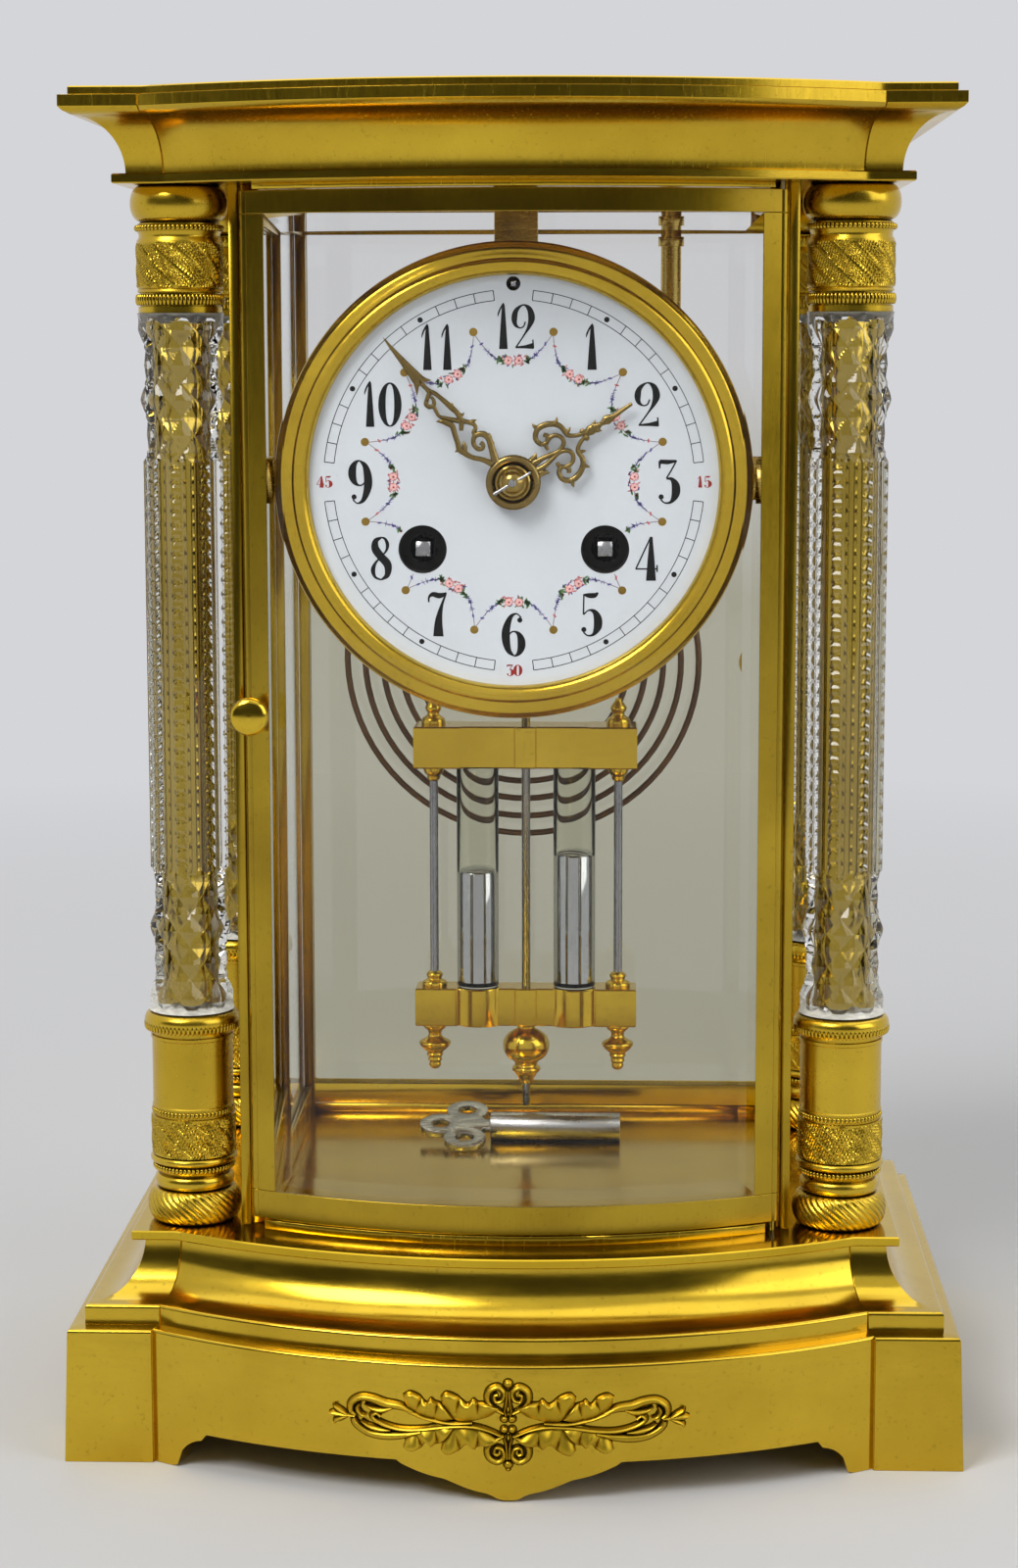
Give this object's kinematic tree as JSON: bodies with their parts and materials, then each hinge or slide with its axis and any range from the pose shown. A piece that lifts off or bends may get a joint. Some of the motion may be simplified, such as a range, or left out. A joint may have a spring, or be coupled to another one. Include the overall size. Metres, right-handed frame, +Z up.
{
  "type": "crystal regulator clock",
  "caption": "Bow-fronted brass and glass mantel clock with cut-glass columns, glazed doors, enamel dial, striking spring movement, coiled gong and twin-jar pendulum.",
  "frame": {"origin": "middle of the footprint on the table", "axes": "+Z up, +X to the viewer's right, the dial and front door face -Y"},
  "size_m": [0.207, 0.1666, 0.3121],
  "materials": {
    "gilt_brass": "polished gilt, lacquered, lightly worn",
    "brass": "brushed",
    "steel": "polished",
    "clear_glass": "clear, bevelled edges",
    "cut_glass": "cut and polished",
    "enamel": "glossy white enamel",
    "gong_steel": "brown, tempered",
    "mercury": "mirror",
    "nickel": "dull nickel plate"
  },
  "bodies": {
    "case": {"plinth": "gilt_brass", "apron_mount": "gilt_brass", "base_moulding": "gilt_brass", "lower_plate": "gilt_brass", "upper_plate": "gilt_brass", "cornice": "gilt_brass", "top_plate": "gilt_brass", "case_rails": "gilt_brass", "corner_posts": "gilt_brass", "bezel": "gilt_brass", "column_bases": "gilt_brass", "column_capitals": "gilt_brass", "movement_bracket": "brass", "front_plate": "brass", "back_plate": "brass", "plate_pillars": "brass", "suspension_cock": "brass", "gong_post": "brass", "hinge_pins": "steel", "side_glass_left": "clear_glass", "side_glass_right": "clear_glass", "column_shaft_front_left": "cut_glass", "column_shaft_front_right": "cut_glass", "column_shaft_back_left": "cut_glass", "column_shaft_back_right": "cut_glass", "dial": "enamel", "gong_coil": "gong_steel", "winding_key": "nickel"},
    "front_door": {"front_door_frame": "gilt_brass", "front_glass": "clear_glass", "front_knob": "gilt_brass"},
    "back_door": {"back_door_frame": "gilt_brass", "back_glass": "clear_glass", "back_knob": "gilt_brass"},
    "centre_arbor": {"centre_wheel": "brass", "cannon_pinion": "steel", "minute_hand": "gilt_brass", "hand_nut": "gilt_brass"},
    "hour_work": {"hour_wheel": "brass", "hour_hand": "gilt_brass"},
    "minute_wheel": {"minute_wheel": "brass"},
    "second_wheel": {"second_wheel": "brass"},
    "third_wheel": {"third_wheel": "brass"},
    "escape_wheel": {"escape_wheel": "brass"},
    "anchor": {"anchor": "steel"},
    "going_barrel": {"going_barrel": "brass"},
    "going_arbor": {"going_arbor": "steel"},
    "strike_barrel": {"strike_barrel": "brass"},
    "strike_arbor": {"strike_arbor": "steel"},
    "pin_wheel": {"pin_wheel": "brass"},
    "warning_wheel": {"warning_wheel": "brass"},
    "fly": {"fly": "brass"},
    "hammer": {"hammer": "steel"},
    "regulator_arbor": {"regulator_arbor": "steel"},
    "pendulum": {"pendulum_rod": "steel", "pendulum_frame": "gilt_brass", "mercury_jars": "clear_glass", "mercury": "mercury"},
    "rating_nut": {"rating_nut": "gilt_brass"}
  },
  "joints": [
    {"name": "front_door_swing", "type": "hinge", "parent": "case", "child": "front_door", "pos_m": [0.06, -0.03913, 0.051], "axis": [0, 0, 1], "range_deg": [0, 100]},
    {"name": "back_door_swing", "type": "hinge", "parent": "case", "child": "back_door", "pos_m": [-0.0601, 0.07245, 0.051], "axis": [0, 0, 1], "range_deg": [0, 100]},
    {"name": "third_wheel_turn", "type": "hinge", "parent": "case", "child": "third_wheel", "pos_m": [-0.004, 0, 0.24038], "axis": [0, 1, 0], "continuous": true},
    {"name": "centre_arbor_turn", "type": "hinge", "parent": "case", "child": "centre_arbor", "pos_m": [0, 0, 0.2249], "axis": [0, 1, 0], "continuous": true},
    {"name": "second_wheel_turn", "type": "hinge", "parent": "case", "child": "second_wheel", "pos_m": [0.0167, 0, 0.22674], "axis": [0, 1, 0], "continuous": true},
    {"name": "going_barrel_turn", "type": "hinge", "parent": "case", "child": "going_barrel", "pos_m": [0.0207, 0, 0.2096], "axis": [0, 1, 0], "continuous": true},
    {"name": "escape_wheel_turn", "type": "hinge", "parent": "case", "child": "escape_wheel", "pos_m": [0, 0, 0.25379], "axis": [0, 1, 0], "continuous": true},
    {"name": "minute_wheel_turn", "type": "hinge", "parent": "case", "child": "minute_wheel", "pos_m": [0.00849, 0, 0.23339], "axis": [0, 1, 0], "continuous": true},
    {"name": "hour_work_turn", "type": "hinge", "parent": "case", "child": "hour_work", "pos_m": [0, 0, 0.2249], "axis": [0, 1, 0], "continuous": true},
    {"name": "going_winding", "type": "hinge", "parent": "case", "child": "going_arbor", "pos_m": [0.0207, 0, 0.2096], "axis": [0, 1, 0], "continuous": true},
    {"name": "warning_wheel_turn", "type": "hinge", "parent": "case", "child": "warning_wheel", "pos_m": [-0.0205, 0, 0.23796], "axis": [0, 1, 0], "continuous": true},
    {"name": "pin_wheel_turn", "type": "hinge", "parent": "case", "child": "pin_wheel", "pos_m": [-0.02652, 0, 0.22621], "axis": [0, 1, 0], "continuous": true},
    {"name": "strike_barrel_turn", "type": "hinge", "parent": "case", "child": "strike_barrel", "pos_m": [-0.0207, 0, 0.2096], "axis": [0, 1, 0], "continuous": true},
    {"name": "fly_turn", "type": "hinge", "parent": "case", "child": "fly", "pos_m": [-0.02401, 0, 0.24625], "axis": [0, 1, 0], "continuous": true},
    {"name": "strike_winding", "type": "hinge", "parent": "case", "child": "strike_arbor", "pos_m": [-0.0207, 0, 0.2096], "axis": [0, 1, 0], "continuous": true},
    {"name": "hammer_lift", "type": "hinge", "parent": "case", "child": "hammer", "pos_m": [-0.037, 0, 0.2169], "axis": [0, 1, 0], "range_deg": [0, 20], "stiffness_Nm_per_rad": 0.002, "springref_deg": -5.73},
    {"name": "regulator_turn", "type": "hinge", "parent": "case", "child": "regulator_arbor", "pos_m": [0, 0, 0.2693], "axis": [0, 1, 0], "range_deg": [-720, 720]},
    {"name": "pendulum_swing", "type": "hinge", "parent": "case", "child": "pendulum", "pos_m": [0, 0.0488, 0.2639], "axis": [0, 1, 0], "range_deg": [-3, 3]},
    {"name": "anchor_swing", "type": "hinge", "parent": "case", "child": "anchor", "pos_m": [0, 0.02, 0.2639], "axis": [0, 1, 0], "range_deg": [-3, 3]},
    {"name": "rating_nut_turn", "type": "hinge", "parent": "pendulum", "child": "rating_nut", "pos_m": [0, 0.0488, 0.072], "axis": [0, 0, 1], "continuous": true}
  ],
  "couplings": [
    {"joint": "centre_arbor_turn", "follows": "third_wheel_turn", "ratio": -0.083333},
    {"joint": "second_wheel_turn", "follows": "third_wheel_turn", "ratio": 0.013889},
    {"joint": "going_barrel_turn", "follows": "third_wheel_turn", "ratio": -0.0017806},
    {"joint": "escape_wheel_turn", "follows": "third_wheel_turn", "ratio": -13},
    {"joint": "minute_wheel_turn", "follows": "third_wheel_turn", "ratio": 0.027778},
    {"joint": "hour_work_turn", "follows": "third_wheel_turn", "ratio": -0.0069444},
    {"joint": "pin_wheel_turn", "follows": "warning_wheel_turn", "ratio": -0.1},
    {"joint": "strike_barrel_turn", "follows": "warning_wheel_turn", "ratio": 0.012821},
    {"joint": "fly_turn", "follows": "warning_wheel_turn", "ratio": -8},
    {"joint": "anchor_swing", "follows": "pendulum_swing", "ratio": 1}
  ]
}
